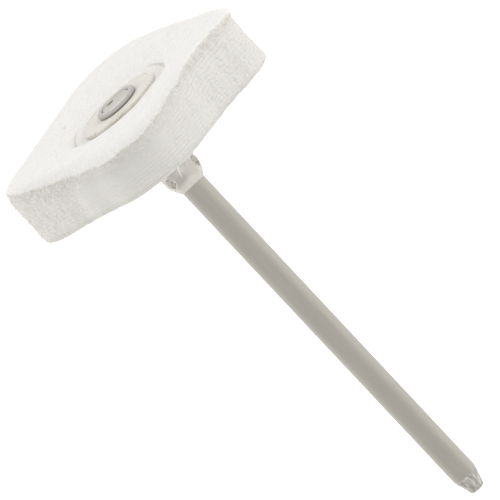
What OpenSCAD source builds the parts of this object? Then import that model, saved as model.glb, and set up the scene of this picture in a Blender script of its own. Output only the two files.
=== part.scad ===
// Mounted muslin buff. Plies of white cotton cloth, squares with rounded corners, are
// clamped between two washers by a hub eyelet, and a ferrule crimped on the steel
// shank carries them. The origin is the centre of the flat tip of the shank. +Z runs
// up the shank to the wheel, X and Y run across the cloth's flat sides, and all
// sizes are in millimetres.

/* [Shank] */
// Diameter of the straight shank, a standard handpiece size
shank_d = 2.35; // [2.2:0.05:2.4]
// Diameter of the flat at the tip
tip_d = 1.2; // [0.8:0.1:1.8]
// Length of the taper at the tip
taper_len = 1.66; // [1:0.02:2.4]
// Length of plain shank between the taper and the shoulder under the ferrule
grip_len = 34.4; // [30:0.1:40]
// Diameter of the turned-down seat that carries the ferrule and the eyelet
seat_d = 1.9; // [1.8:0.05:2]
// Diameter of the riveted end in the eyelet
flare_d = 2.8; // [2.6:0.05:2.9]
// Height of the flare at the riveted end
flare_h = 0.28; // [0.2:0.02:0.34]
// Diameter of the pit in the riveted end
pit_d = 0.7; // [0.4:0.1:1]
// Depth of the pit in the riveted end
pit_depth = 0.35; // [0.2:0.05:0.6]

/* [Ferrule] */
// Diameter of the ferrule's barrel
ferrule_d = 3.56; // [3.5:0.02:4.2]
// Length of the ferrule
ferrule_len = 4.66; // [4:0.02:6]
// Diameter of the ferrule's lip, where it closes on the shank
ferrule_lip_d = 2.54; // [2.48:0.02:2.8]
// Height of the rounded nose over the lip
ferrule_nose_h = 1.3; // [1:0.05:1.8]
// Depth of the socket that takes the eyelet's tube
socket_depth = 2.1; // [1:0.1:2.4]
// Height of the stake marks above the ferrule's lip
stake_z = 1.2; // [1:0.05:1.5]
// Width of a stake mark at its mouth
stake_w = 0.9; // [0.6:0.05:1]
// Depth of a stake mark
stake_depth = 0.2; // [0.1:0.02:0.3]
// Number of stake marks round the ferrule
stake_count = 3; // [2:1:4]
// Direction of the first stake mark, in degrees from +X
stake_turn = 56; // [0:1:120]

/* [Eyelet and washers] */
// Outer diameter of the eyelet's tube
tube_d = 3.08; // [3:0.02:3.1]
// Diameter of the eyelet's rolled head
head_d = 3.9; // [3.6:0.1:4.4]
// Height of the eyelet's rolled head
head_h = 0.44; // [0.4:0.02:0.6]
// Diameter of the fibre washers
washer_d = 7.5; // [6:0.1:9]
// Thickness of a fibre washer
washer_t = 0.43; // [0.3:0.01:0.6]

/* [Wheel] */
// Number of cloth plies
ply_count = 16; // [10:1:18]
// Thickness of one ply
ply_t = 0.19; // [0.15:0.01:0.2]
// Space between neighbouring plies under the washers
ply_gap = 0.03; // [0.02:0.005:0.05]
// Width of the cloth across its flat sides
cloth_w = 20.2; // [18:0.2:22]
// Radius of the cloth's rounded corners
corner_r = 5; // [4:0.5:8]
// Thickness of the wheel at its rim
rim_t = 5.4; // [5:0.1:6.5]
// Distance past the washers over which the plies spread
spread_len = 2.5; // [1.5:0.1:4]
// How far the edges of the outermost plies stand back
shoulder = 0.5; // [0.2:0.1:0.8]

/* [Hidden] */
$fn = 96;
// Space left between pieces that rest on each other
seat = 0.02;
// Radial clearance of the pieces on the shank and on the eyelet's tube
slip = 0.015;
// Points along the spread part of a ply, and along the ferrule's nose
ply_steps = 8;
nose_steps = 8;
// Thickness of the disc at the riveted end, above its flare
flare_land = 0.06;

shoulder_z = taper_len + grip_len;
ferrule_z = shoulder_z + seat;
ferrule_top = ferrule_z + ferrule_len;
lower_washer_z = ferrule_top + seat;
clamp_z = lower_washer_z + washer_t + seat;
clamp_t = ply_count * (ply_t + ply_gap);
upper_washer_z = clamp_z + clamp_t + seat;
head_z = upper_washer_z + washer_t + seat;
bore_r = seat_d / 2 + slip;
hole_r = tube_d / 2 + slip;

// Mid height of the plies, and the half height of their mid surfaces
mid_z = clamp_z + clamp_t / 2;
clamp_half = (ply_count - 1) / 2 * (ply_t + ply_gap);
rim_half = (rim_t - ply_t) / 2;

// The sphere that leaves a stake mark of the given mouth and depth
stake_r = (pow(stake_w / 2, 2) + pow(stake_depth, 2)) / (2 * stake_depth);

function ply_name(i) = str("muslin_ply_", i < 10 ? "0" : "", i);

// Place of ply i in the stack, from -1 at the shank side to 1 at the head side
function ply_side(i) = (2 * i - ply_count - 1) / (ply_count - 1);
function ply_trim(i) = shoulder * pow(ply_side(i), 4);

// Distance from the axis to the cloth's corners, and a little more
corner_reach = (cloth_w / 2 - corner_r) * sqrt(2) + corner_r;
ply_reach = corner_reach + 0.1;

// Half height of the stack at radius r
function stack_half(r) =
    rim_half - (rim_half - clamp_half) * exp(-max(r - washer_d / 2, 0) / spread_len);

// A round part from an outline of [radius, height] points
module turned(outline) {
    rotate_extrude() polygon(outline);
}

// Steel pin with a tapered tip and a turned-down seat, riveted over in the eyelet
module shank() {
    color("#aaa69e")
    difference() {
        turned([
            [0, 0],
            [tip_d / 2, 0],
            [shank_d / 2, taper_len],
            [shank_d / 2, shoulder_z],
            [seat_d / 2, shoulder_z],
            [seat_d / 2, head_z],
            [flare_d / 2, head_z + flare_h - flare_land],
            [flare_d / 2, head_z + flare_h],
            [0, head_z + flare_h]
        ]);
        translate([0, 0, head_z + flare_h - pit_depth])
            cylinder(d = pit_d, h = 2 * pit_depth);
    }
}

// Barrel with a rounded nose, socketed for the eyelet and staked on the shank
module crimp_ferrule() {
    lip_r = ferrule_lip_d / 2;
    bulge = ferrule_d / 2 - lip_r;
    nose = [
        for (k = [0:nose_steps])
        let (a = 90 * k / nose_steps)
        [lip_r + bulge * sin(a), ferrule_z + ferrule_nose_h * (1 - cos(a))]
    ];
    color("#c9c6c0")
    difference() {
        turned(concat(
            [[0, ferrule_z]],
            nose,
            [[ferrule_d / 2, ferrule_top], [0, ferrule_top]]
        ));
        cylinder(r = bore_r, h = ferrule_top + ferrule_len);
        translate([0, 0, ferrule_top - socket_depth])
            cylinder(r = hole_r, h = 2 * socket_depth);
        for (k = [1:stake_count])
            rotate(stake_turn + 360 * k / stake_count)
            translate([ferrule_d / 2 + stake_r - stake_depth, 0, ferrule_z + stake_z])
            sphere(r = stake_r);
    }
}

// Tube through the plies with a rolled head that holds the upper washer down
module hub_eyelet() {
    tube_z = ferrule_top - socket_depth + seat;
    roll = head_h / 2;
    color("#b9b6b0")
    difference() {
        union() {
            translate([0, 0, tube_z])
                cylinder(d = tube_d, h = head_z - tube_z + roll);
            translate([0, 0, head_z])
                cylinder(r = head_d / 2 - roll, h = head_h);
            translate([0, 0, head_z + roll])
                rotate_extrude()
                translate([head_d / 2 - roll, 0])
                circle(r = roll);
        }
        cylinder(r = bore_r, h = head_z + 2 * head_h);
        // Dished seat for the riveted end of the shank
        turned([
            [0, head_z - seat],
            [bore_r, head_z - seat],
            [flare_d / 2 + slip, head_z + flare_h - flare_land - seat],
            [flare_d / 2 + slip, head_z + 2 * head_h],
            [0, head_z + 2 * head_h]
        ]);
    }
}

// Ring of vulcanised fibre that spreads the clamping load over the cloth
module fibre_washer(z) {
    color("#d9cfbd")
    difference() {
        translate([0, 0, z]) cylinder(d = washer_d, h = washer_t);
        cylinder(r = hole_r, h = z + 2 * washer_t);
    }
}

module lower_washer() {
    fibre_washer(lower_washer_z);
}

module upper_washer() {
    fibre_washer(upper_washer_z);
}

// Outline of ply i, a square with round corners that stands back by its trim
module cloth_outline(i) {
    half_w = cloth_w / 2 - ply_trim(i);
    corner = half_w - corner_r;
    square([2 * half_w, 2 * corner], center = true);
    square([2 * corner, 2 * half_w], center = true);
    for (x = [-corner, corner], y = [-corner, corner])
        translate([x, y]) circle(r = corner_r);
}

// One ply of cloth, flat under the washers and spreading towards its rim
module muslin_ply(i) {
    clamp_r = washer_d / 2;
    run = ply_reach - clamp_r;
    radii = concat([hole_r + slip], [for (k = [0:ply_steps]) clamp_r + run * k / ply_steps]);
    under = [for (r = radii) [r, mid_z + ply_side(i) * stack_half(r) - ply_t / 2]];
    over = [for (p = under) [p[0], p[1] + ply_t]];
    color("#f2f0ec")
    intersection() {
        turned(concat(under, [for (k = [len(over) - 1:-1:0]) over[k]]));
        translate([0, 0, mid_z - rim_t])
            linear_extrude(2 * rim_t)
            cloth_outline(i);
    }
}

shank();
crimp_ferrule();
hub_eyelet();
lower_washer();
upper_washer();
for (i = [1:ply_count])
    muslin_ply(i);
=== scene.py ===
import math

import bpy
import numpy as np
from mathutils import Matrix, Vector


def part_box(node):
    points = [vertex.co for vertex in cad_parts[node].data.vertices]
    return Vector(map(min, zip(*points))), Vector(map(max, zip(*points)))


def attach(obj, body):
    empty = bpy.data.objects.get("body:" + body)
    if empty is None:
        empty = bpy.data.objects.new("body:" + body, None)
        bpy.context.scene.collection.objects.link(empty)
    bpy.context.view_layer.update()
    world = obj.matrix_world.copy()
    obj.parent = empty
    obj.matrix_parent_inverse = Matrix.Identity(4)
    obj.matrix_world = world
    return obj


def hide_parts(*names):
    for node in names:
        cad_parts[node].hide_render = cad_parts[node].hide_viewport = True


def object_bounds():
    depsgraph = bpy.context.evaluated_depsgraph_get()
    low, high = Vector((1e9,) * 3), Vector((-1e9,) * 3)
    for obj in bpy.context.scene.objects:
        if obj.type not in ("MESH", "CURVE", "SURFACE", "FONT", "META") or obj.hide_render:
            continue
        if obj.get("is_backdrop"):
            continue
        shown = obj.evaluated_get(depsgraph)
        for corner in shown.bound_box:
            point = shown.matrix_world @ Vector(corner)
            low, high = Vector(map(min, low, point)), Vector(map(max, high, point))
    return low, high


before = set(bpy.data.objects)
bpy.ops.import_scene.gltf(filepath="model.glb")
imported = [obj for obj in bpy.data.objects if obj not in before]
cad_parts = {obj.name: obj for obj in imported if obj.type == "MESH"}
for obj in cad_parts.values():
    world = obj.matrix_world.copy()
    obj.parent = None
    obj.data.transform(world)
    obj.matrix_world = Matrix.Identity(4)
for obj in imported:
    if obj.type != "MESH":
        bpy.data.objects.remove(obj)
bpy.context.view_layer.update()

# ---------------------------------------------------------------- camera
# A long lens a little above the wheel, turned about its own axis so that the buff lies
# corner to corner, with the wheel at the upper left and the shank running to the lower
# right. One corner of the cloth points nearly at the lens.
mm = 0.001
lens_distance = 640 * mm
turned_from_front = math.radians(-38.4)
raised = math.radians(12.6)
roll = math.radians(43.17)
aim_right, aim_down = 9.47 * mm, 10.5 * mm

wheel_z = (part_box("muslin_ply_01")[0].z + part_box("muslin_ply_16")[1].z) / 2
wheel_centre = Vector((0, 0, wheel_z))
to_lens = Vector((
    math.sin(turned_from_front) * math.cos(raised),
    -math.cos(turned_from_front) * math.cos(raised),
    math.sin(raised),
))
level_right = Vector((0, 0, 1)).cross(to_lens).normalized()
level_up = to_lens.cross(level_right)
picture_right = level_right * math.cos(roll) - level_up * math.sin(roll)
picture_up = level_right * math.sin(roll) + level_up * math.cos(roll)

lens_place = wheel_centre + to_lens * lens_distance
aim = wheel_centre + picture_right * aim_right - picture_up * aim_down
back = (lens_place - aim).normalized()
side = (picture_right - back * picture_right.dot(back)).normalized()
lens_turn = Matrix((side, back.cross(side), back)).transposed().to_euler()
bpy.ops.object.camera_add(location=lens_place, rotation=lens_turn)
camera = bpy.context.object
camera.name = "camera"
camera.data.sensor_width = 36
camera.data.lens = 557.6
camera.data.clip_start, camera.data.clip_end = 0.05, 20
bpy.context.scene.camera = camera
bpy.context.scene.view_settings.view_transform = "Standard"


# ---------------------------------------------------------------- floor and light
# White paper under a white tent. The tent is bright all round, and a darker patch low down
# on the lens's side stands for the room beyond its opening, which bright metal reflects. A
# softbox hangs overhead, a little behind the wheel.
def linear(hex_colour):
    """The linear colour, with alpha, of an sRGB hex value."""
    shares = [int(hex_colour[k:k + 2], 16) / 255 for k in (1, 3, 5)]
    return [s / 12.92 if s <= 0.04045 else ((s + 0.055) / 1.055) ** 2.4 for s in shares] + [1]


def add_node(tree, kind, fills=None, **settings):
    """Adds a node with its settings, and fills its inputs with values or with links."""
    made = tree.nodes.new(kind)
    for name, value in settings.items():
        setattr(made, name, value)
    for name, value in (fills or {}).items():
        if isinstance(value, bpy.types.NodeSocket):
            tree.links.new(value, made.inputs[name])
        else:
            made.inputs[name].default_value = value
    return made


def new_material(name):
    """A material with only its output node, the node tree and that node."""
    material = bpy.data.materials.new(name)
    material.use_nodes = True
    tree = material.node_tree
    tree.nodes.clear()
    return material, tree, add_node(tree, "ShaderNodeOutputMaterial")


def deselect_all():
    """Leaves edit mode and nothing selected."""
    if bpy.context.object and bpy.context.object.mode != "OBJECT":
        bpy.ops.object.mode_set(mode="OBJECT")
    bpy.ops.object.select_all(action="DESELECT")


deselect_all()
bpy.ops.mesh.primitive_plane_add(size=8, location=(0, 0, -0.2 * mm))
floor = bpy.context.object
floor.name = "paper_floor"
floor.visible_diffuse = floor.visible_glossy = False
paper, tree, output = new_material("white_paper")
surface = add_node(tree, "ShaderNodeBsdfPrincipled", {
    "Base Color": linear("#F4F3F0"), "Roughness": 0.9,
    "Emission Color": linear("#FFFFFF"), "Emission Strength": 1.0,
})
tree.links.new(surface.outputs[0], output.inputs[0])
floor.data.materials.append(paper)
floor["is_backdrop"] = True

tent_strength = 0.92
patch_depth = 0.34
patch_turn = turned_from_front - math.radians(20)
patch_dip = math.radians(-20)
patch_way = (
    math.sin(patch_turn) * math.cos(patch_dip),
    -math.cos(patch_turn) * math.cos(patch_dip),
    math.sin(patch_dip),
)
tent = bpy.data.worlds.new("white_tent")
bpy.context.scene.world = tent
tent.use_nodes = True
tree = tent.node_tree
tree.nodes.clear()
way = add_node(tree, "ShaderNodeTexCoord")
near_patch = add_node(tree, "ShaderNodeVectorMath", {
    0: way.outputs["Generated"], 1: patch_way}, operation="DOT_PRODUCT")
patch = add_node(tree, "ShaderNodeMapRange", {
    "Value": near_patch.outputs["Value"], "From Min": -0.35, "From Max": 0.92,
    "To Max": patch_depth}, interpolation_type="SMOOTHSTEP")
height = add_node(tree, "ShaderNodeSeparateXYZ", {0: way.outputs["Generated"]})
below = add_node(tree, "ShaderNodeMapRange", {
    "Value": height.outputs["Z"], "From Min": -0.03, "From Max": -0.12},
    interpolation_type="SMOOTHSTEP")
not_floor = add_node(tree, "ShaderNodeMapRange", {
    "Value": height.outputs["Z"], "From Min": -0.9, "From Max": -0.5, "To Min": 0.15},
    interpolation_type="SMOOTHSTEP")
low_band = add_node(tree, "ShaderNodeMath", {
    0: not_floor.outputs[0], 1: below.outputs[0]}, operation="MULTIPLY")
shade = add_node(tree, "ShaderNodeMath", {
    0: patch.outputs[0], 1: low_band.outputs[0]}, operation="MULTIPLY")
kept = add_node(tree, "ShaderNodeMath", {0: 1.0, 1: shade.outputs[0]}, operation="SUBTRACT")
strength = add_node(tree, "ShaderNodeMath", {
    0: kept.outputs[0], 1: tent_strength}, operation="MULTIPLY")
glow = add_node(tree, "ShaderNodeBackground", {
    "Color": linear("#FFFFFF"), "Strength": strength.outputs[0]})
add_node(tree, "ShaderNodeOutputWorld", {0: glow.outputs[0]})

softbox_height = 0.55
mirrored_lens = to_lens.reflect(Vector((0, 0, 1)))
softbox_place = wheel_centre - mirrored_lens * 0.25 + Vector((0, 0, softbox_height))
bpy.ops.object.light_add(type="AREA", location=softbox_place)
softbox = bpy.context.object
softbox.name = "softbox"
softbox.data.shape = "SQUARE"
softbox.data.size = 0.5
softbox.data.energy = 0.56
softbox.rotation_euler = (softbox_place - wheel_centre).to_track_quat("Z", "Y").to_euler()
softbox.visible_camera = False

# Two smaller boxes stand low down at the sides and light the cloth's edge there
box_distance = 0.5
for name, turn, energy in (("right_box", 80, 0.52), ("left_box", -120, 0.42)):
    turn = math.radians(turn) + turned_from_front
    box_place = wheel_centre + Vector((math.sin(turn), -math.cos(turn), 0.12)) * box_distance
    bpy.ops.object.light_add(type="AREA", location=box_place)
    side_box = bpy.context.object
    side_box.name = name
    side_box.data.shape = "SQUARE"
    side_box.data.size = 0.3
    side_box.data.energy = energy
    side_box.rotation_euler = (box_place - wheel_centre).to_track_quat("Z", "Y").to_euler()
    side_box.visible_camera = side_box.visible_glossy = False


# ---------------------------------------------------------------- shank
# Steel pin for a rotary handpiece, 2.35 mm thick. It is drawn bright and lightly ground, so
# a fine grain runs along it. Its tip is turned to a short cone with a few uneven tool flats,
# and its other end is turned down, carries the hub, and is riveted over on top.
def edit(piece):
    """Opens one piece in edit mode with all of it selected."""
    deselect_all()
    bpy.context.view_layer.objects.active = piece
    piece.select_set(True)
    bpy.ops.object.mode_set(mode="EDIT")
    bpy.ops.mesh.select_mode(type="VERT")
    bpy.ops.mesh.select_all(action="SELECT")


def close_up():
    """Merges doubles, turns all faces outwards and leaves edit mode."""
    bpy.ops.mesh.select_all(action="SELECT")
    bpy.ops.mesh.remove_doubles(threshold=1e-7)
    bpy.ops.mesh.normals_make_consistent(inside=False)
    bpy.ops.object.mode_set(mode="OBJECT")


def turn_up(name, outline, segments, ring=False):
    """A circle drawn out from one [radius, height] point to the next, as if on a lathe.
    A ring's outline ends where it began; any other piece is closed by a disc at each end."""
    deselect_all()
    radius, z = outline[0]
    fill = "NOTHING" if ring else "NGON"
    bpy.ops.mesh.primitive_circle_add(vertices=segments, radius=radius, fill_type=fill)
    piece = bpy.context.object
    piece.name = piece.data.name = name
    edit(piece)
    bpy.ops.transform.translate(value=(0, 0, z))
    for next_radius, next_z in outline[1:]:
        bpy.ops.mesh.extrude_region_move()
        grow = next_radius / radius
        bpy.ops.transform.resize(value=(grow, grow, 1), center_override=(0, 0, z))
        bpy.ops.transform.translate(value=(0, 0, next_z - z))
        radius, z = next_radius, next_z
    close_up()
    return piece


def points_of(piece):
    """The piece's points as an array."""
    places = np.empty(len(piece.data.vertices) * 3)
    piece.data.vertices.foreach_get("co", places)
    return places.reshape(-1, 3)


def round_axis(places):
    """The angle of each point round the axis, and its distance from it."""
    return np.arctan2(places[:, 1], places[:, 0]), np.hypot(places[:, 0], places[:, 1])


def move_points(piece, places):
    """Puts the piece's points at these places."""
    piece.data.vertices.foreach_set("co", places.astype(np.float32).ravel())
    piece.data.update()


def smooth(piece, angle):
    """Smooth shading, with edges sharper than the angle left hard."""
    deselect_all()
    piece.select_set(True)
    bpy.context.view_layer.objects.active = piece
    bpy.ops.object.shade_smooth_by_angle(angle=math.radians(angle))


shank_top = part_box("shank")[1].z
ferrule_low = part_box("crimp_ferrule")[0].z
head_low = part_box("upper_washer")[1].z
shank_r = 1.175 * mm
seat_r = 0.95 * mm
rivet_r = 1.4 * mm
rivet_top = shank_top + 0.06 * mm

shank_outline = [[0.64 * mm, -0.05 * mm], [0.69 * mm, -0.03 * mm], [0.71 * mm, 0.02 * mm]]
for k in range(1, 16):
    shank_outline.append([(0.71 + 0.46 * k / 15) * mm, (0.02 + 1.6 * k / 15) * mm])
shank_outline += [[shank_r, 1.68 * mm], [shank_r, 1.8 * mm], [shank_r, 2.1 * mm]]
shank_outline += [[shank_r, (2.1 + 34 * k / 12) * mm] for k in range(1, 12)]
shank_outline += [
    [shank_r, ferrule_low - 0.2 * mm], [shank_r, ferrule_low - 0.1 * mm],
    [shank_r, ferrule_low - 0.06 * mm], [shank_r - 0.02 * mm, ferrule_low - 0.02 * mm],
    [seat_r, ferrule_low - 0.02 * mm], [seat_r, head_low],
    [rivet_r - 0.03 * mm, shank_top - 0.14 * mm], [rivet_r, shank_top - 0.1 * mm],
    [rivet_r - 0.01 * mm, shank_top - 0.04 * mm], [rivet_r - 0.04 * mm, shank_top + 0.02 * mm],
    [rivet_r - 0.1 * mm, rivet_top],
]
shank_outline += [[r * mm, rivet_top] for r in np.arange(1.24, 0.03, -0.05)]
shank = turn_up("steel_shank", shank_outline, 144)

# The tool left uneven flats and scores round the top of the cone
places = points_of(shank)
angle, reach = round_axis(places)
on_cone = (places[:, 2] > 0.1 * mm) & (places[:, 2] < 1.7 * mm)
flats = 0.5 + 0.5 * np.cos(13 * angle + 1.6 * np.sin(3 * angle) + 0.6)
scores = 0.5 + 0.5 * np.cos(31 * angle + 2 * np.sin(5 * angle) + 2.5 / mm * places[:, 2])
near_top = np.exp(-((places[:, 2] - 1.42 * mm) / (0.2 * mm)) ** 2)
cut_in = (0.05 * flats ** 2 * near_top + 0.008 * scores) * on_cone
places[:, :2] *= (1 - cut_in)[:, None]

# The riveting set left a shallow dish and a round pit on one side of it
pit_turn = turned_from_front + math.radians(119)
pit_off_axis = 0.86 * mm
pit_r = 0.38 * mm
pit_place = np.array([math.cos(pit_turn), math.sin(pit_turn)]) * pit_off_axis
on_rivet = places[:, 2] > rivet_top - 0.005 * mm
dish = 0.03 * mm * np.clip(1 - (reach / rivet_r) ** 2, 0, 1)
from_pit = np.hypot(places[:, 0] - pit_place[0], places[:, 1] - pit_place[1]) / pit_r
pit = 0.34 * mm * np.clip(1 - from_pit ** 5, 0, 1)
burr = 0.02 * mm * np.exp(-((from_pit - 1.2) / 0.15) ** 2)
places[:, 2] += np.where(on_rivet, burr - dish - pit, 0)
move_points(shank, places)
smooth(shank, 38)


def flattened(tree, place):
    """Each point's place with its height left out."""
    return add_node(tree, "ShaderNodeVectorMath", {
        0: place.outputs["Object"], 1: (1, 1, 0)}, operation="MULTIPLY").outputs[0]


def axis_distance(tree, place):
    """How far each point is from the shank's axis."""
    level = flattened(tree, place)
    return add_node(tree, "ShaderNodeVectorMath", {0: level}, operation="LENGTH").outputs["Value"]


# Ground steel: grey with a warm cast, bright, its reflections drawn out along the grain.
# Scales are in features per millimetre. The grain is drawn 9 to the millimetre, coarser than
# real, so that it shows.
steel, tree, output = new_material("ground_steel")
place = add_node(tree, "ShaderNodeTexCoord")
along = add_node(tree, "ShaderNodeMapping", {
    "Vector": place.outputs["Object"], "Scale": (9 / mm, 9 / mm, 0.18 / mm)})
grain = add_node(tree, "ShaderNodeTexNoise", {
    "Vector": along.outputs[0], "Scale": 1.0, "Detail": 3.0, "Roughness": 0.6})
spread = add_node(tree, "ShaderNodeMapping", {
    "Vector": place.outputs["Object"], "Scale": (0.7 / mm, 0.7 / mm, 0.13 / mm)})
stain = add_node(tree, "ShaderNodeTexNoise", {
    "Vector": spread.outputs[0], "Scale": 1.0, "Detail": 4.0, "Roughness": 0.65})
plain = add_node(tree, "ShaderNodeMix", {
    0: stain.outputs["Fac"], 6: linear("#C3BFB4"), 7: linear("#D0CCC2")}, data_type="RGBA")
dull = add_node(tree, "ShaderNodeMapRange", {
    "Value": grain.outputs["Fac"], "From Min": 0.3, "From Max": 0.7, "To Min": 0.26, "To Max": 0.4})

# The cone's cut faces are streaked, and painted shade darkens the rivet's pit and the groove round its
# edge
cone_end = 1.7 * mm
streak_way = add_node(tree, "ShaderNodeMapping", {
    "Vector": place.outputs["Object"], "Scale": (4.2 / mm, 4.2 / mm, 0.9 / mm)})
streaks = add_node(tree, "ShaderNodeTexNoise", {
    "Vector": streak_way.outputs[0], "Scale": 1.0, "Detail": 3.0, "Roughness": 0.7})
streak_share = add_node(tree, "ShaderNodeMapRange", {
    "Value": streaks.outputs["Fac"], "From Min": 0.32, "From Max": 0.62})
streaked = add_node(tree, "ShaderNodeMix", {
    0: streak_share.outputs[0], 6: linear("#A19D93"), 7: linear("#E4E1DA")}, data_type="RGBA")
parts = add_node(tree, "ShaderNodeSeparateXYZ", {0: place.outputs["Object"]})
on_cut = add_node(tree, "ShaderNodeMapRange", {
    "Value": parts.outputs["Z"], "From Min": cone_end, "From Max": cone_end - 0.08 * mm})
with_cone = add_node(tree, "ShaderNodeMix", {
    0: on_cut.outputs[0], 6: plain.outputs[2], 7: streaked.outputs[2]}, data_type="RGBA")
from_axis = axis_distance(tree, place)
in_groove = add_node(tree, "ShaderNodeMath", {
    0: from_axis, 1: 1.4 * mm, 2: 0.07 * mm}, operation="COMPARE")
deep = add_node(tree, "ShaderNodeMapRange", {
    "Value": parts.outputs["Z"], "From Min": rivet_top - 0.04 * mm,
    "From Max": rivet_top - 0.16 * mm})
within = add_node(tree, "ShaderNodeMath", {
    0: from_axis, 1: 1.26 * mm}, operation="LESS_THAN")
in_pit = add_node(tree, "ShaderNodeMath", {
    0: deep.outputs[0], 1: within.outputs[0]}, operation="MULTIPLY")
# Painted shade: the groove and the pit are mixed towards a dark grey
hollow_shade_share = add_node(tree, "ShaderNodeMath", {
    0: in_groove.outputs[0], 1: 0.3, 2: in_pit.outputs[0]}, operation="MULTIPLY_ADD")
at_rivet = add_node(tree, "ShaderNodeMath", {
    0: parts.outputs["Z"], 1: head_low}, operation="GREATER_THAN")
painted_hollow_shade = add_node(tree, "ShaderNodeMath", {
    0: hollow_shade_share.outputs[0], 1: at_rivet.outputs[0]}, operation="MULTIPLY", use_clamp=True)
colour = add_node(tree, "ShaderNodeMix", {
    0: painted_hollow_shade.outputs[0], 6: with_cone.outputs[2], 7: linear("#4C4842")}, data_type="RGBA")
scratches = add_node(tree, "ShaderNodeBump", {
    "Strength": 0.25, "Distance": 0.004 * mm, "Height": grain.outputs["Fac"]})
surface = add_node(tree, "ShaderNodeBsdfPrincipled", {
    "Base Color": colour.outputs[2], "Metallic": 1.0, "Roughness": dull.outputs[0],
    "Normal": scratches.outputs[0]})
tree.links.new(surface.outputs[0], output.inputs[0])
shank.data.materials.append(steel)
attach(shank, "root")
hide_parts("shank")


# ---------------------------------------------------------------- ferrule
# Nickel-plated barrel with a rounded nose, pushed on the shank's seat and over the eyelet's
# tube. An eight-jawed die closed its nose on the shank and left eight soft flats. Three
# punched stakes hold it, and each leaves a torn pit with a raised burr.
ferrule_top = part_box("crimp_ferrule")[1].z
barrel_r = 1.81 * mm
socket_r = 1.555 * mm
bore_r = 0.965 * mm
stake_z = ferrule_low + 1.26 * mm
squeeze = 0.12
squeeze_turn = 53
jaw_turn = -108.4
stake_turns = (56, 182, 294)
stake_depth = 0.21 * mm
burr_height = 0.13 * mm

# The nose outside, in millimetres from the axis and up from the ferrule's lower end
nose = [
    [1.185, -0.1], [1.26, -0.09], [1.31, -0.03], [1.36, 0.05], [1.43, 0.15], [1.5, 0.25],
    [1.565, 0.35], [1.62, 0.45], [1.665, 0.55], [1.705, 0.66], [1.74, 0.78], [1.77, 0.92],
    [1.785, 1.06], [1.8, 1.24], [1.805, 1.42],
]
lip_r = 1.18 * mm
ferrule_outline = [[bore_r, ferrule_low], [lip_r, ferrule_low], [lip_r, ferrule_low - 0.09 * mm]]
for (one, low), (two, high) in zip(nose, nose[1:]):
    for k in range(2):
        ferrule_outline.append([
            (one + (two - one) * k / 2) * mm, ferrule_low + (low + (high - low) * k / 2) * mm,
        ])
ferrule_outline += [[barrel_r, ferrule_low + (1.5 + 0.06 * k) * mm] for k in range(24)]
ferrule_outline += [
    [barrel_r, ferrule_top - 0.03 * mm], [barrel_r - 0.03 * mm, ferrule_top],
    [socket_r, ferrule_top], [socket_r, ferrule_top - 2.1 * mm],
    [bore_r, ferrule_top - 2.1 * mm], [bore_r, ferrule_low],
]
ferrule = turn_up("nickel_ferrule", ferrule_outline, 288, ring=True)

places = points_of(ferrule)
angle, reach = round_axis(places)
height_up = places[:, 2]
outside = reach > bore_r + 0.1 * mm
outside &= (reach > socket_r + 0.1 * mm) | (height_up < ferrule_low + 1.4 * mm)
outside &= reach > lip_r + 0.002 * mm
pressed = np.exp(-((height_up - stake_z) / (1.0 * mm)) ** 2)
pressed *= np.clip((height_up - ferrule_low - 0.1 * mm) / (0.6 * mm), 0, 1)
third = (angle - math.radians(squeeze_turn) + math.pi / 3) % (2 * math.pi / 3) - math.pi / 3
inward = squeeze * (np.cos(1.5 * third) - 0.7) * pressed * barrel_r
jaw = math.radians(45)
from_flat = (angle - math.radians(jaw_turn) + jaw / 2) % jaw - jaw / 2
flatness = np.clip((height_up - ferrule_low) / (0.35 * mm), 0, 1)
flatness *= np.clip((ferrule_low + 2.9 * mm - height_up) / (0.9 * mm), 0, 1)
inward += 0.7 * flatness * (1 - math.cos(jaw / 2) / np.cos(from_flat)) * reach
for stake, turn in enumerate(stake_turns):
    apart = (angle - math.radians(turn) + math.pi) % (2 * math.pi) - math.pi
    across = apart * barrel_r / (0.42 * mm)
    tall = (height_up - stake_z) / (0.44 * mm)
    from_stake = np.hypot(across, tall)
    torn = np.arctan2(tall, across) * 5 + stake
    edge = 1 + 0.1 * np.cos(torn) + 0.06 * np.cos(2.2 * torn + 1)
    sunk = np.clip(1 - (from_stake / edge) ** 2, 0, 1)
    inward += stake_depth * sunk * (1 + 0.45 * np.cos(torn + 1) * np.minimum(from_stake, 1))
    inward -= burr_height * np.exp(-((from_stake / edge - 1.08) / 0.12) ** 2)
inward = np.where(outside, inward, 0)
places[:, :2] *= (1 - inward / reach)[:, None]

# The jaws pushed the lip down at the two sides across the lens, and up before it
nose_h = 0.6 * mm
at_nose = np.where(outside, np.clip(1 - (height_up - ferrule_low) / nose_h, 0, 1), 0)
across_lens = np.cos(angle - math.radians(jaw_turn + 70))
places[:, 2] += at_nose * (0.05 - 0.16 * across_lens ** 2) * mm
move_points(ferrule, places)
smooth(ferrule, 50)

# Nickel plate over brass: pale and slightly warm, soft bright reflections, dulled in spots
nickel, tree, output = new_material("nickel_plate")
place = add_node(tree, "ShaderNodeTexCoord")
spots = add_node(tree, "ShaderNodeTexNoise", {
    "Vector": place.outputs["Object"], "Scale": 1.6 / mm, "Detail": 5.0, "Roughness": 0.6})
plate = add_node(tree, "ShaderNodeMix", {
    0: spots.outputs["Fac"], 6: linear("#DAD5CA"), 7: linear("#E9E6E0")}, data_type="RGBA")
dull = add_node(tree, "ShaderNodeMapRange", {
    "Value": spots.outputs["Fac"], "From Min": 0.3, "From Max": 0.7, "To Min": 0.16, "To Max": 0.3})
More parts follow.
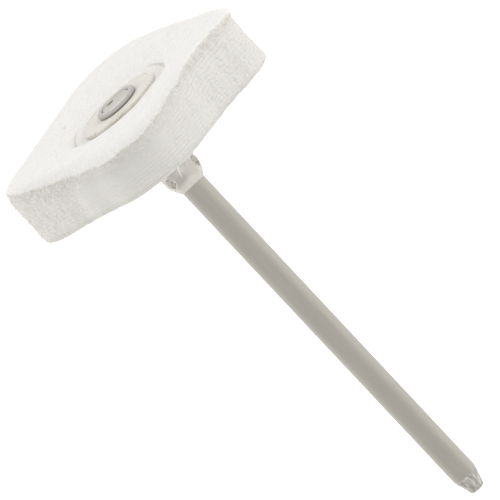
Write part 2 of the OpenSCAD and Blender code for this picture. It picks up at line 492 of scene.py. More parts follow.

# One side of the nose is painted browner, and painted shade darkens the stake pits
brown_place = (-1.55 * mm, -0.93 * mm, ferrule_low + 0.75 * mm)
to_brown = add_node(tree, "ShaderNodeVectorMath", {
    0: place.outputs["Object"], 1: brown_place}, operation="DISTANCE")
brown_share = add_node(tree, "ShaderNodeMapRange", {
    "Value": to_brown.outputs["Value"], "From Min": 0.3 * mm, "From Max": 1.0 * mm,
    "To Min": 0.12, "To Max": 0.0}, interpolation_type="SMOOTHSTEP")
with_brown_side = add_node(tree, "ShaderNodeMix", {
    0: brown_share.outputs[0], 6: plate.outputs[2], 7: linear("#AFA592")}, data_type="RGBA")
parts = add_node(tree, "ShaderNodeSeparateXYZ", {0: place.outputs["Object"]})
from_axis = axis_distance(tree, place)
# Painted shade: the stake pits are mixed towards a dark grey
deep = add_node(tree, "ShaderNodeMapRange", {
    "Value": from_axis, "From Min": 1.66 * mm, "From Max": 1.5 * mm, "To Max": 0.3})
at_stakes = add_node(tree, "ShaderNodeMath", {
    0: parts.outputs["Z"], 1: stake_z, 2: 0.5 * mm}, operation="COMPARE")
painted_hollow_shade = add_node(tree, "ShaderNodeMath", {
    0: deep.outputs[0], 1: at_stakes.outputs[0]}, operation="MULTIPLY")
colour = add_node(tree, "ShaderNodeMix", {
    0: painted_hollow_shade.outputs[0], 6: with_brown_side.outputs[2], 7: linear("#6F6A60")}, data_type="RGBA")
dents = add_node(tree, "ShaderNodeBump", {
    "Strength": 0.3, "Distance": 0.02 * mm, "Height": spots.outputs["Fac"]})
surface = add_node(tree, "ShaderNodeBsdfPrincipled", {
    "Base Color": colour.outputs[2], "Metallic": 1.0, "Roughness": dull.outputs[0],
    "Normal": dents.outputs[0]})
tree.links.new(surface.outputs[0], output.inputs[0])
ferrule.data.materials.append(nickel)
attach(ferrule, "root")
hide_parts("crimp_ferrule")


# ---------------------------------------------------------------- lower washer
# Ring punched from vulcanised fibre, a hard cream board of pressed cotton rag. It lies on
# the ferrule's top and spreads the clamping load over the cloth.
hole_r = 1.555 * mm
washer_r = 3.75 * mm


def fibre_washer(name, node):
    """A punched ring in the place of a CAD washer, its top edge rounded by the punch, and
    dished round its hole, as the clamping leaves it."""
    low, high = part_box(node)[0].z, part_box(node)[1].z
    outline = [
        [hole_r, low], [washer_r - 0.9 * mm, low], [washer_r - 0.02 * mm, low],
        [washer_r, low + 0.03 * mm], [washer_r, high - 0.14 * mm],
        [washer_r - 0.04 * mm, high - 0.04 * mm], [washer_r - 0.14 * mm, high],
        [washer_r - 0.5 * mm, high], [washer_r - 0.9 * mm, high], [washer_r - 1.2 * mm, high],
        [2.35 * mm, high - 0.02 * mm], [2.15 * mm, high - 0.05 * mm], [2.0 * mm, high - 0.06 * mm],
        [hole_r, high - 0.06 * mm], [hole_r, low],
    ]
    washer = turn_up(name, outline, 192, ring=True)
    places = points_of(washer)
    angle = round_axis(places)[0]
    places[:, :2] *= (1 + 0.004 * np.sin(3 * angle) + 0.003 * np.sin(8 * angle + 1))[:, None]
    move_points(washer, places)
    smooth(washer, 40)
    washer.data.materials.append(fibre)
    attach(washer, "root")
    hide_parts(node)
    return washer


# Vulcanised fibre: matt cream, faintly flecked, with a hard skin that takes a weak gloss
fibre, tree, output = new_material("vulcanised_fibre")
place = add_node(tree, "ShaderNodeTexCoord")
flecks = add_node(tree, "ShaderNodeTexNoise", {
    "Vector": place.outputs["Object"], "Scale": 2.6 / mm, "Detail": 6.0, "Roughness": 0.7})
clouds = add_node(tree, "ShaderNodeTexNoise", {
    "Vector": place.outputs["Object"], "Scale": 0.5 / mm})
tint = add_node(tree, "ShaderNodeMix", {
    0: clouds.outputs["Fac"], 6: linear("#DCD8CF"), 7: linear("#EBE8E3")}, data_type="RGBA")
flecked = add_node(tree, "ShaderNodeMix", {
    0: flecks.outputs["Fac"], 6: linear("#D9D5CC"), 7: tint.outputs[2]}, data_type="RGBA")
# Painted shade: the washer is mixed towards tan round its outer edge and side, and more at one spot on
# the near side to the lens's left, where the cloth's lip shades it
edge_shade = add_node(tree, "ShaderNodeMapRange", {
    "Value": axis_distance(tree, place), "From Min": 3.5 * mm, "From Max": 3.74 * mm,
    "To Max": 0.08}, interpolation_type="SMOOTHSTEP")
to_shade_spot = add_node(tree, "ShaderNodeVectorMath", {
    0: flattened(tree, place), 1: (-3.07 * mm, -2.42 * mm, 0)}, operation="DISTANCE")
near_left_shade = add_node(tree, "ShaderNodeMapRange", {
    "Value": to_shade_spot.outputs["Value"], "From Min": 0.2 * mm, "From Max": 1.6 * mm,
    "To Min": 0.46, "To Max": 0.0}, interpolation_type="SMOOTHSTEP")
painted_washer_shade = add_node(tree, "ShaderNodeMath", {
    0: edge_shade.outputs[0], 1: near_left_shade.outputs[0]}, operation="ADD")
colour = add_node(tree, "ShaderNodeMix", {
    0: painted_washer_shade.outputs[0], 6: flecked.outputs[2], 7: linear("#BBAF9B")}, data_type="RGBA")
skin = add_node(tree, "ShaderNodeBump", {
    "Strength": 0.35, "Distance": 0.03 * mm, "Height": flecks.outputs["Fac"]})
surface = add_node(tree, "ShaderNodeBsdfPrincipled", {
    "Base Color": colour.outputs[2], "Roughness": 0.62, "Specular IOR Level": 0.4,
    "Normal": skin.outputs[0]})
tree.links.new(surface.outputs[0], output.inputs[0])
lower_washer = fibre_washer("fibre_washer_lower", "lower_washer")


# ---------------------------------------------------------------- muslin plies
# Sixteen squares of bleached cotton muslin with rounded corners, stacked square on square
# and clamped at the hub. Use has turned the stack slightly out of true: it leans, bellies,
# and its cut edges have felted together on one side and open in wavy folds on the other.
ply_count = 16
cut_half = 10.22 * mm
cut_corner = 5.37 * mm
# The cloth's bends are given in degrees from the right-hand side as the lens sees it, and a
# bend of the whole cloth by its height at bend_r
view_turn = turned_from_front
bend_r = 11.5 * mm
circle_steps = 832
# Length round the rim in millimetres
rim_mm = 70


def square_reach(angle):
    """Distance from the axis to the outline of a square with round corners."""
    along = np.maximum(np.abs(np.cos(angle)), np.abs(np.sin(angle)))
    off = np.minimum(np.abs(np.cos(angle)), np.abs(np.sin(angle)))
    straight = cut_half / along
    middle = (cut_half - cut_corner) * (along + off)
    root = middle ** 2 - 2 * (cut_half - cut_corner) ** 2 + cut_corner ** 2
    rounded = middle + np.sqrt(np.maximum(root, 0))
    return np.where(straight * off <= cut_half - cut_corner, straight, rounded)


def ripple(angle, longest, shortest, seed, drift=0.0):
    """An uneven wave round the rim, about 1 high, between two wavelengths in millimetres."""
    draw = np.random.default_rng(seed)
    low, high = rim_mm / longest, rim_mm / shortest
    total = np.zeros_like(angle)
    counts = np.unique(np.linspace(low, high, 26).round())
    for count in counts:
        start, step = draw.uniform(0, 2 * math.pi), draw.normal(0, 1)
        total += np.cos(count * angle + start + drift * step)
    return total / math.sqrt(len(counts) / 2)


def bump_at(angle, middle, width):
    """1 at an angle in degrees from the right-hand side, falling to 0 over a width in degrees."""
    apart = (angle - math.radians(middle) + math.pi) % (2 * math.pi) - math.pi
    return np.exp(-(apart / math.radians(width)) ** 2)


def ease(value, start, end):
    """0 before start, 1 after end, smooth between them."""
    share = np.clip((value - start) / (end - start), 0, 1)
    return share * share * (3 - 2 * share)


flat_r = 11.1 * mm
edge_radii = [10.74 * mm, 10.92 * mm, 11.02 * mm, 11.07 * mm, flat_r]
inner_radii = [hole_r + 0.015 * mm]
inner_radii += [r * mm for r in (3.75, 4.2, 4.65, 5, 5.3, 5.8, 7, 8.2, 9.1, 9.8, 10.4)] + edge_radii
outer_radii = [hole_r + 0.015 * mm, 3.3 * mm] + [r * mm for r in np.arange(3.7, 5.75, 0.115)]
outer_radii += [r * mm for r in np.arange(5.9, 10.65, 0.3)] + edge_radii


def cut_ply(name, radii):
    """One flat ring of cloth, its edge rounded, 1 high either side of its middle."""
    shrink = {flat_r: 0.72, 11.07 * mm: 0.9}
    under = [[r, -shrink.get(r, 1)] for r in radii]
    over = [[r, -z] for r, z in reversed(under)]
    outline = under + [[flat_r + 0.02 * mm, 0]] + over + [under[0]]
    return turn_up(name, outline, circle_steps, ring=True)


def shape_ply(ply, number):
    """Moves the points of a flat ply to its place in the stack."""
    place_in_stack = (2 * number - ply_count - 1) / (ply_count - 1)
    flat = points_of(ply)
    angle, reach = round_axis(flat)
    turn = angle - view_turn
    share = np.clip(reach / flat_r, 0, 1.1)
    right_side = bump_at(turn, -34, 30)
    left_end = bump_at(turn, -170, 24)
    open_side = np.clip(right_side + 0.3 * left_end, 0, 1)

    # Where the cut edges have felted together they fill the space up to their neighbours
    across = flat[:, 2] + np.where(flat[:, 2] > 0, 1, -1) * (1 - np.abs(flat[:, 2])) * (
        (np.abs(flat[:, 2]) > 1e-6) * (1 - 0.55 * open_side))
    rim_ring = share > 1.001
    share = np.where(rim_ring, 1 + 0.0012 * open_side, share)

    # Outline of the stack, a square with round corners, a little fuller on one side
    outline = square_reach(angle)
    outline -= 0.266 * mm * np.cos(2 * (turn + 0.25))
    outline -= 0.098 * mm * np.cos(3 * (turn + 0.369))
    outline -= 0.15 * mm * bump_at(turn, 180, 20)
    hub_share = hole_r / flat_r
    out = np.clip((share - hub_share) / (1 - hub_share), 0, 1.01)
    radius = hole_r + out * (outline - hole_r)

    # Each cut edge wanders, and its yarn ends stand out one by one. The topmost plies
    # overhang on the open side, and stand out at one corner.
    near_edge = ease(share, 0.9, 1)
    wander = (0.005 + 0.012 * right_side + 0.03 * left_end) * ripple(angle, 2.4, 0.6, 100 + number)
    shared = 0.06 * (1 - 0.6 * open_side) * ripple(angle, 14, 3, 7, 0.15 * number)
    yarn_ends = (0.004 + 0.003 * open_side) * ripple(angle, 0.8, 0.35, 200 + number)
    overhang = 0.1 * math.exp(-((place_in_stack - 1) / 0.12) ** 2)
    overhang -= 0.06 * math.exp(-((place_in_stack - 0.7) / 0.14) ** 2)
    stand_out = overhang * right_side + 0.2 * max(place_in_stack, 0) * bump_at(turn, -3, 18)
    radius += (wander + shared + yarn_ends + stand_out) * mm * near_edge

    # Height in the stack: clamped flat under the washers, then spreading to the rim
    half_rim = (5.262 + 0.364 * np.cos(turn - 2.342)) / 2 * mm
    half_hub = (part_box("upper_washer")[0].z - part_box("lower_washer")[1].z) / 2 - 0.02 * mm
    away = 0.5 + 0.5 * np.sin(turn)
    ends = bump_at(turn, -3, 30) + bump_at(turn, -177, 30)
    by_washer = 0.42 * (1 - 0.8 * bump_at(turn, -112, 36) - 0.9 * ends)
    lip = 0.62 - 0.12 * away - by_washer
    rise = by_washer * ease(radius, 3.7 * mm, 4.02 * mm)
    lip_start, lip_end = 4.78 - 0.2 * away + 0.27 * ends, 5.22 + 0.5 * away - 0.17 * ends
    rise += lip * ease(radius, lip_start * mm, lip_end * mm)
    spread = rise + (1 - lip - by_washer) * (1 - np.exp(-np.maximum(radius - 5.0 * mm, 0) / (2.3 * mm)))
    half = half_hub + (half_rim - half_hub) * spread
    pitch = 2 * half / ply_count
    raised_top = 0.88 * bump_at(turn, -40, 27) - 0.28 * bump_at(turn, -116, 36)
    raised_top += 0.3 * bump_at(turn, -172, 24) - 0.14 * bump_at(turn, -92, 24)
    raised_top *= mm * (radius / bend_r) ** 2 * ease(radius, 4.5 * mm, 7 * mm)
    thickness = pitch * (1.01 + 0.12 * open_side * near_edge)
    thickness += raised_top * 2 / (ply_count - 1) * (place_in_stack > 0)
    height = place_in_stack * (half - pitch / 2) + across * thickness / 2
    height += max(place_in_stack, 0) * raised_top

    # Folds that neighbouring plies share, deepest on the open side
    fold_size = 0.01 + 0.07 * right_side + 0.02 * left_end
    folds = fold_size * ripple(angle, 5, 1.8, 11, 0.08 * number) * (1 - 0.7 * place_in_stack ** 2)
    puckers = (0.001 + 0.004 * open_side) * ripple(angle, 3, 0.9, 300 + number)
    height += (folds + puckers) * mm * ease(share, 0.72, 1)

    # Handling has rounded the upper and lower edges of the stack
    upper = 0.25 + 2.1 * bump_at(turn, -126, 37) + bump_at(turn, -90, 36)
    upper = np.minimum(upper + 0.6 * bump_at(turn, -176, 20), 2.42) * mm
    lower = 0.86 - 0.5 * bump_at(turn, -5, 28) - 0.2 * bump_at(turn, -174, 28)
    lower = (lower - 0.3 * bump_at(turn, -95, 30)) * mm
    worn_over = np.clip((height - (half - upper)) / upper, 0, 1) * np.clip(upper / (1.2 * mm), 0, 1)
    for soft, way in ((upper, 1), (lower, -1)):
        a = np.clip((radius - (outline - soft)) / soft, 0, 1)
        b = np.clip((way * height - (half - soft)) / soft, 0, 1)
        rounded = (a > 0) & (b > 0)
        radius = np.where(rounded, radius - soft * a * (1 - np.sqrt(1 - b * b / 2)), radius)
        height = np.where(rounded, height - way * soft * b * (1 - np.sqrt(1 - a * a / 2)), height)

    # The stack leans and bellies by a few tenths of a millimetre
    lean = -0.321 * np.cos(turn) + 0.112 * np.sin(turn)
    belly = -0.226 * np.cos(2 * turn) + 0.233 * np.sin(2 * turn)
    raised_back = 0.13 * (bump_at(turn, 125, 28) + bump_at(turn, 45, 22))
    sag = -0.09 * (1 - place_in_stack) / 2
    past_washer = ease(radius, 3.8 * mm, 7 * mm)
    height += (lean + belly + raised_back + sag) * mm * (radius / bend_r) ** 2 * past_washer

    # The outer faces are not flat: the cloth is slightly puckered between its yarns
    if number in (1, ply_count):
        x, y = flat[:, 0] / mm, flat[:, 1] / mm
        quilt = np.sin(2.6 * x + 3 * np.sin(0.7 * y)) * np.sin(2.2 * y)
        height += 0.012 * mm * quilt * ease(radius, 4 * mm, 6 * mm) * (1 - ease(share, 0.92, 0.99))

    # The cloth lies a little off the hub's centre, to the left and towards the lens
    to_left, to_front = 0.158 * mm, 0.031 * mm
    off_x = to_front * math.sin(view_turn) - to_left * math.cos(view_turn)
    off_y = -to_front * math.cos(view_turn) - to_left * math.sin(view_turn)
    flat[:, 0] = radius * np.cos(angle) + off_x * past_washer
    flat[:, 1] = radius * np.sin(angle) + off_y * past_washer
    flat[:, 2] = wheel_z + height
    move_points(ply, flat)

    # The materials read how near each point is to the cut edge
    edge_share = ply.data.attributes.new("cut_edge", "FLOAT", "POINT")
    cut = ease(share, 0.955, 0.998) * (1 - worn_over) * (1 - 0.45 * right_side - 0.3 * left_end)
    edge_share.data.foreach_set("value", cut.astype(np.float32))
    return flat[rim_ring]


# Bleached muslin: warm white, quite matt with a soft bloom, a plain weave of fine yarns.
# Cut edges are creamier, because light that enters between the yarns comes out yellower.
# The yarns lie 0.38 mm apart, as in a coarse muslin, askew to the square's sides.
thread_gap = 0.38 * mm
yarn_turn = math.radians(23.4)
muslin, tree, output = new_material("bleached_muslin")
place = add_node(tree, "ShaderNodeTexCoord")
turned_cloth = add_node(tree, "ShaderNodeMapping", {
    "Vector": place.outputs["Object"], "Rotation": (0, 0, yarn_turn)})
wobble = add_node(tree, "ShaderNodeTexNoise", {
    "Vector": place.outputs["Object"], "Scale": 0.9 / mm})
wobbled = add_node(tree, "ShaderNodeVectorMath", {
    0: wobble.outputs["Color"], 1: (0.25 * mm, 0.25 * mm, 0), 2: turned_cloth.outputs[0]},
    operation="MULTIPLY_ADD")
wave_count = add_node(tree, "ShaderNodeVectorMath", {
    0: wobbled.outputs[0], 1: (math.pi / thread_gap,) * 3}, operation="MULTIPLY")
yarns = add_node(tree, "ShaderNodeSeparateXYZ", {0: wave_count.outputs[0]})
waves = {}
for way in "XY":
    for shape in ("SINE", "COSINE"):
        waves[way + shape] = add_node(tree, "ShaderNodeMath", {0: yarns.outputs[way]},
                                      operation=shape).outputs[0]
crowns = []
for one, other, sign in (("X", "Y", 1.0), ("Y", "X", -1.0)):
    crown = add_node(tree, "ShaderNodeMath", {0: waves[one + "SINE"]}, operation="ABSOLUTE")
    over = add_node(tree, "ShaderNodeMath", {
        0: waves[one + "SINE"], 1: waves[other + "COSINE"]}, operation="MULTIPLY")
    signed = add_node(tree, "ShaderNodeMath", {
        0: over.outputs[0], 1: sign, 2: crown.outputs[0]}, operation="MULTIPLY_ADD")
    crowns.append(signed.outputs[0])
weave = add_node(tree, "ShaderNodeMath", {0: crowns[0], 1: crowns[1]}, operation="MAXIMUM")
lint = add_node(tree, "ShaderNodeTexNoise", {
    "Vector": place.outputs["Object"], "Scale": 4.2 / mm, "Detail": 5.0, "Roughness": 0.65})
tufts = add_node(tree, "ShaderNodeTexNoise", {
    "Vector": place.outputs["Object"], "Scale": 1.1 / mm, "Detail": 4.0, "Roughness": 0.6})
cut_edge = add_node(tree, "ShaderNodeAttribute", attribute_name="cut_edge")
face_only = add_node(tree, "ShaderNodeMath", {
    0: 1.0, 1: cut_edge.outputs["Fac"]}, operation="SUBTRACT")
weave_bump = add_node(tree, "ShaderNodeBump", {
    "Strength": face_only.outputs[0], "Distance": 0.03 * mm, "Height": weave.outputs[0]})
tuft_bump = add_node(tree, "ShaderNodeBump", {
    "Strength": 0.28, "Distance": 0.08 * mm, "Height": tufts.outputs["Fac"],
    "Normal": weave_bump.outputs[0]})
lint_bump = add_node(tree, "ShaderNodeBump", {
    "Strength": 0.5, "Distance": 0.03 * mm, "Height": lint.outputs["Fac"],
    "Normal": tuft_bump.outputs[0]})
face_tint = add_node(tree, "ShaderNodeMix", {
    0: tufts.outputs["Fac"], 6: linear("#E8E5E2"), 7: linear("#F0EEEB")}, data_type="RGBA")
edge_tint = add_node(tree, "ShaderNodeMix", {
    0: tufts.outputs["Fac"], 6: linear("#F1EDE4"), 7: linear("#F8F5EE")}, data_type="RGBA")
hub_distance = axis_distance(tree, place)
# Painted shade: the cloth is mixed darker and warmer in the recess round the hub, fading out towards
# its lip
recess_shade_share = add_node(tree, "ShaderNodeMapRange", {
    "Value": hub_distance, "From Min": 4.2 * mm, "From Max": 5.15 * mm,
    "To Min": 0.4, "To Max": 0.0}, interpolation_type="SMOOTHSTEP")
with_recess_shade = add_node(tree, "ShaderNodeMix", {
    0: recess_shade_share.outputs[0], 6: face_tint.outputs[2], 7: linear("#DFDACF")}, data_type="RGBA")

# Painted shade darkens the crease round the foot of the recess, where the step's shadow falls, and only
# at its two ends to the left and the right of the lens
crease_r = 4.95 * mm
right_way = (math.cos(view_turn), math.sin(view_turn), 0)
to_crease = add_node(tree, "ShaderNodeMath", {
    0: hub_distance, 1: crease_r}, operation="SUBTRACT")
off_crease = add_node(tree, "ShaderNodeMath", {0: to_crease.outputs[0]}, operation="ABSOLUTE")
crease = add_node(tree, "ShaderNodeMapRange", {
    "Value": off_crease.outputs[0], "From Min": 0.02 * mm, "From Max": 0.17 * mm,
    "To Min": 0.5, "To Max": 0.0}, interpolation_type="SMOOTHSTEP")
sideways = add_node(tree, "ShaderNodeVectorMath", {
    0: place.outputs["Object"], 1: right_way}, operation="DOT_PRODUCT")
off_middle = add_node(tree, "ShaderNodeMath", {0: sideways.outputs["Value"]}, operation="ABSOLUTE")
at_ends = add_node(tree, "ShaderNodeMapRange", {
    "Value": off_middle.outputs[0], "From Min": 3.4 * mm, "From Max": 4.9 * mm},
    interpolation_type="SMOOTHSTEP")
painted_crease_shade = add_node(tree, "ShaderNodeMath", {
    0: crease.outputs[0], 1: at_ends.outputs[0]}, operation="MULTIPLY")
with_crease_shade = add_node(tree, "ShaderNodeMix", {
    0: painted_crease_shade.outputs[0], 6: with_recess_shade.outputs[2], 7: linear("#B3ACA2")}, data_type="RGBA")
colour = add_node(tree, "ShaderNodeMix", {
    0: cut_edge.outputs["Fac"], 6: with_crease_shade.outputs[2], 7: edge_tint.outputs[2]},
    data_type="RGBA")
surface = add_node(tree, "ShaderNodeBsdfPrincipled", {
    "Base Color": colour.outputs[2], "Roughness": 0.92, "Specular IOR Level": 0.2,
    "Subsurface Weight": 0.4, "Subsurface Radius": (1.0, 0.95, 0.88), "Subsurface Scale": 0.25 * mm,
    "Sheen Weight": 0.25, "Sheen Roughness": 0.5, "Normal": lint_bump.outputs[0]})
tree.links.new(surface.outputs[0], output.inputs[0])

flat_inner = cut_ply("flat_inner", inner_radii)
flat_outer = cut_ply("flat_outer", outer_radii)
plies, rim_points = [], []
for number in range(1, ply_count + 1):
    source = flat_outer if number in (1, ply_count) else flat_inner
    ply = source.copy()
    ply.data = source.data.copy()
    ply.name = ply.data.name = f"cotton_ply_{number:02d}"
    bpy.context.collection.objects.link(ply)
    rim_points.append(shape_ply(ply, number))
    smooth(ply, 30)
    ply.data.materials.append(muslin)
    plies.append(ply)
for source in (flat_inner, flat_outer):
    bpy.data.objects.remove(source)
for number, ply in enumerate(plies, 1):
    below = plies[number - 2].name if number > 1 else lower_washer.name
    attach(ply, "root")
    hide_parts(f"muslin_ply_{number:02d}")


# ---------------------------------------------------------------- upper washer
# The same ring of vulcanised fibre, laid on the topmost ply. The eyelet's head holds it
# down, and the cloth rises round it.
fibre_washer("fibre_washer_upper", "upper_washer")


# ---------------------------------------------------------------- loose fibres
# Lint worked loose from the cut edges, and frayed yarn ends, thickest at one corner. Real
# cotton fibres are about 0.015 mm thick; these are drawn up to six times that, as wisps of
# several, so that they show. Each is a bent, tapered three-sided hair of a few faces.
def hairs(name, roots, ways, lengths, thickness, curl, draw):
    """One mesh of many bent tapered hairs."""
    count = len(roots)
    sideways = draw.normal(size=(count, 3))
    sideways -= ways * np.sum(sideways * ways, 1, keepdims=True)
    steps = (0.0, 0.35, 0.7, 1.0)
    taper = (1.0, 0.85, 0.6, 0.25)
    first = np.cross(ways, sideways)
    first /= np.linalg.norm(first, axis=1, keepdims=True)
    second = np.cross(ways, first)
    rings = []
    for step, thin in zip(steps, taper):
        middle = roots + lengths[:, None] * (ways * step + curl * sideways * step * step)
        for corner in range(3):
            turn = 2 * math.pi * corner / 3
            rim = first * math.cos(turn) + second * math.sin(turn)
            rings.append(middle + rim * (thickness * thin)[:, None])
    places = np.stack(rings, 1).reshape(-1, 3)
    one = [(0, 2, 1), (9, 10, 11)]
    for step in range(3):
        for corner in range(3):
            a, b = step * 3 + corner, step * 3 + (corner + 1) % 3
            one.append((a, b, b + 3, a + 3))
    faces = [[12 * k + point for point in face] for k in range(count) for face in one]
    mesh = bpy.data.meshes.new(name)
    mesh.from_pydata(places.tolist(), [], faces)
    mesh.update()
    piece = bpy.data.objects.new(name, mesh)
    bpy.context.collection.objects.link(piece)
    edit(piece)
    bpy.ops.mesh.normals_make_consistent(inside=False)
    bpy.ops.object.mode_set(mode="OBJECT")
    smooth(piece, 80)
    return piece


# Loose cotton: the same bleached white, catching light through its thin hairs
lint_cotton, tree, output = new_material("loose_cotton")
place = add_node(tree, "ShaderNodeTexCoord")
shades = add_node(tree, "ShaderNodeTexNoise", {
    "Vector": place.outputs["Object"], "Scale": 1.5 / mm, "Detail": 3.0})
colour = add_node(tree, "ShaderNodeMix", {
    0: shades.outputs["Fac"], 6: linear("#F0EDE6"), 7: linear("#FAF8F4")}, data_type="RGBA")
surface = add_node(tree, "ShaderNodeBsdfPrincipled", {
    "Base Color": colour.outputs[2], "Roughness": 0.9, "Specular IOR Level": 0.2,
    "Sheen Weight": 0.3, "Sheen Roughness": 0.5})
tree.links.new(surface.outputs[0], output.inputs[0])


def rim_hairs(name, count, longest, thickness, stand, seed, plies_used, favour):
    """Hairs rooted on the cut edges. Favour gives how likely each angle is to hold one."""
    draw = np.random.default_rng(seed)
    ply_at = draw.choice(plies_used, count * 4)
    spot = draw.integers(0, len(rim_points[0]), count * 4)
    roots = np.array([rim_points[p][k] for p, k in zip(ply_at, spot)])
    angle = round_axis(roots)[0]
    kept = draw.random(count * 4) < favour(angle - view_turn)
    roots, angle = roots[kept][:count], angle[kept][:count]
    out = np.stack([np.cos(angle), np.sin(angle), 0 * angle], 1)
    along = np.stack([-np.sin(angle), np.cos(angle), 0 * angle], 1)
    ways = out * draw.uniform(0.1, stand, (len(roots), 1))
    ways += along * draw.normal(0, 0.6, (len(roots), 1))
    ways[:, 2] += draw.normal(0, 0.4, len(roots))
    ways /= np.linalg.norm(ways, axis=1, keepdims=True)
    roots = roots + along * draw.normal(0, 0.04 * mm, (len(roots), 1)) - out * 0.02 * mm
    roots[:, 2] += draw.normal(0, 0.07 * mm, len(roots))
    lengths = longest * draw.uniform(0.3, 1, len(roots)) ** 1.5
    return hairs(name, roots, ways, lengths, thickness * draw.uniform(0.6, 1, len(roots)), 0.5, draw)


edge_lint = rim_hairs(
    "edge_lint", 4200, 0.42 * mm, 0.014 * mm, 0.6, 5, range(16),
    lambda a: 0.15 + 0.5 * bump_at(a, -25, 35) + 0.6 * bump_at(a, -175, 40) + 0.4 * bump_at(a, 90, 60))
shoulder_lint = rim_hairs(
    "shoulder_lint", 1600, 0.45 * mm, 0.022 * mm, 0.5, 8, range(11, 16),
    lambda a: 0.02 + 0.9 * bump_at(a, -122, 42))
end_tufts = rim_hairs(
    "end_tufts", 1300, 0.4 * mm, 0.045 * mm, 1.0, 6, range(16),
    lambda a: 0.04 + 0.85 * bump_at(a, -176, 22) + 0.2 * bump_at(a, -20, 25))
skirt_lint = rim_hairs(
    "skirt_lint", 2000, 0.52 * mm, 0.034 * mm, 1.1, 7, (0, 14, 15, 15), lambda a: 0.6 + 0 * a)

# Short fibres lie on the upper face
lying_count = 420
draw = np.random.default_rng(12)
top_points = points_of(plies[-1])
top_ways = np.empty(len(top_points) * 3)
plies[-1].data.vertices.foreach_get("normal", top_ways)
upward = top_ways.reshape(-1, 3)[:, 2] > 0.6
beyond_hub = round_axis(top_points)[1] > 5.4 * mm
roots = draw.permutation(top_points[upward & beyond_hub])[:lying_count]
ways = draw.normal(0, 1, (len(roots), 3)) * (1, 1, 0.16) + (0, 0, 0.1)
ways /= np.linalg.norm(ways, axis=1, keepdims=True)
lengths = 0.5 * mm * draw.uniform(0.4, 1, len(roots))
face_lint = hairs("face_lint", roots, ways, lengths, np.full(len(roots), 0.014 * mm), 0.4, draw)

# Worn cloth has shed a ring of short fibres over the edge of the upper washer
shed_count = 520
turns = draw.uniform(0, 2 * math.pi, shed_count)
inward_way = -np.stack([np.cos(turns), np.sin(turns), 0 * turns], 1)
roots = -inward_way * draw.uniform(3.62, 3.9, (shed_count, 1)) * mm
roots[:, 2] = head_low - 0.03 * mm
ways = inward_way * draw.normal(0.3, 0.5, (shed_count, 1))
ways += draw.normal(0, 0.6, (shed_count, 3)) * (1, 1, 0.15)
ways /= np.linalg.norm(ways, axis=1, keepdims=True)
lengths = 0.4 * mm * draw.uniform(0.4, 1, shed_count)
washer_lint = hairs("washer_lint", roots, ways, lengths, np.full(shed_count, 0.02 * mm), 0.4, draw)

# One loose yarn end hangs from the lower edge at the corner nearest the lens
near_way = np.array([math.sin(view_turn), -math.cos(view_turn), 0])
right_way = np.array(right_way)
low_rim = rim_points[0]
by_middle = low_rim[np.abs(low_rim @ right_way) < 0.15 * mm]
end_root = by_middle[np.argmax(by_middle @ near_way)]
end_way = -0.62 * right_way + 0.12 * near_way + (0, 0, -0.78)
loose_end = hairs(
    "loose_yarn_end", end_root[None] + 0.2 * mm * right_way + (0, 0, -0.06 * mm), end_way[None],
    np.array([0.95 * mm]), np.array([0.075 * mm]), 0.12, draw)
for lint_piece in (edge_lint, shoulder_lint, end_tufts, skirt_lint, face_lint, washer_lint, loose_end):
    lint_piece.data.materials.append(lint_cotton)
    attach(lint_piece, "root")

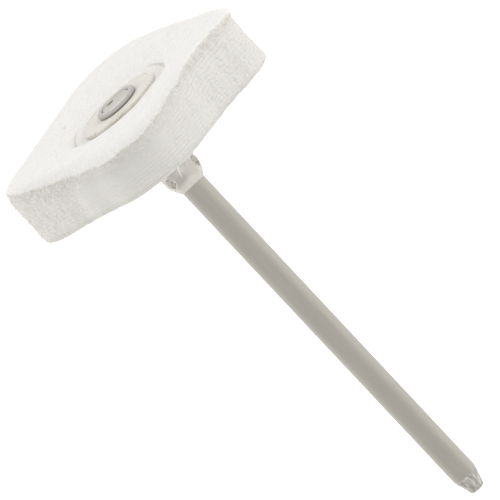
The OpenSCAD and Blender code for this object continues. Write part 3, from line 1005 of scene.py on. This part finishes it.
# Grey fluff caught on the upper face
fluff_cotton, tree, output = new_material("grey_fluff")
surface = add_node(tree, "ShaderNodeBsdfPrincipled", {
    "Base Color": linear("#BDB7B5"), "Roughness": 0.9})
tree.links.new(surface.outputs[0], output.inputs[0])
fluff_place = right_way * -4.6 * mm - near_way * 5.0 * mm
from_fluff = np.hypot(*(top_points[upward] - fluff_place)[:, :2].T)
fluff_root = top_points[upward][np.argmin(from_fluff)]
roots = fluff_root + draw.normal(0, 0.05 * mm, (7, 3)) * (1, 1, 0.2)
ways = draw.normal(0, 0.35, (7, 3)) * (1, 1, 0.3) + right_way + (0, 0, 0.15)
fluff = hairs("caught_fluff", roots, ways, np.full(7, 0.13 * mm), np.full(7, 0.02 * mm), 0.6, draw)
fluff.data.materials.append(fluff_cotton)
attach(fluff, "root")


# ---------------------------------------------------------------- eyelet
# Steel tube that runs down through the cloth into the ferrule, with its upper end rolled
# over on the washer. The roll leaves a thin shadow gap all round under its edge.
tube_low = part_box("hub_eyelet")[0].z
tube_r = 1.54 * mm
rolled = [
    [1.76, -0.05], [1.79, 0.0], [1.9, 0.0], [1.94, 0.03], [1.95, 0.1], [1.955, 0.2],
    [1.94, 0.29], [1.91, 0.345], [1.86, 0.39], [1.79, 0.425], [1.7, 0.445], [1.61, 0.445],
    [1.53, 0.425], [1.48, 0.38], [1.45, 0.3], [1.435, 0.24],
]
eyelet_outline = [[bore_r, tube_low], [tube_r, tube_low], [tube_r, head_low - 0.2 * mm]]
eyelet_outline.append([tube_r, head_low - 0.05 * mm])
eyelet_outline += [[r * mm, head_low + z * mm] for r, z in rolled]
eyelet_outline += [
    [rivet_r + 0.02 * mm, shank_top - 0.11 * mm], [bore_r, head_low - 0.02 * mm],
    [bore_r, tube_low],
]
eyelet = turn_up("steel_eyelet", eyelet_outline, 304, ring=True)

# The rolling tool left fine upright marks round the head's side
places = points_of(eyelet)
angle, reach = round_axis(places)
on_side = reach > 1.8 * mm
marks = 0.007 * mm * np.sin(76 * angle) + 0.006 * mm * np.sin(23 * angle + 1)
places[:, :2] *= np.where(on_side, 1 + marks / (1.95 * mm), 1)[:, None]
move_points(eyelet, places)
smooth(eyelet, 50)

# Rolled steel: the shank's steel, a little less yellow where the tool has burnished it
rolled_steel = steel.copy()
rolled_steel.name = "rolled_steel"
for node in rolled_steel.node_tree.nodes:
    if node.bl_idname == "ShaderNodeBsdfPrincipled":
        rolled_steel.node_tree.links.remove(node.inputs["Base Color"].links[0])
        node.inputs["Base Color"].default_value = linear("#C7C4C0")
eyelet.data.materials.append(rolled_steel)
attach(eyelet, "root")
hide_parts("hub_eyelet")


# ---------------------------------------------------------------- bounds
low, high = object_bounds()
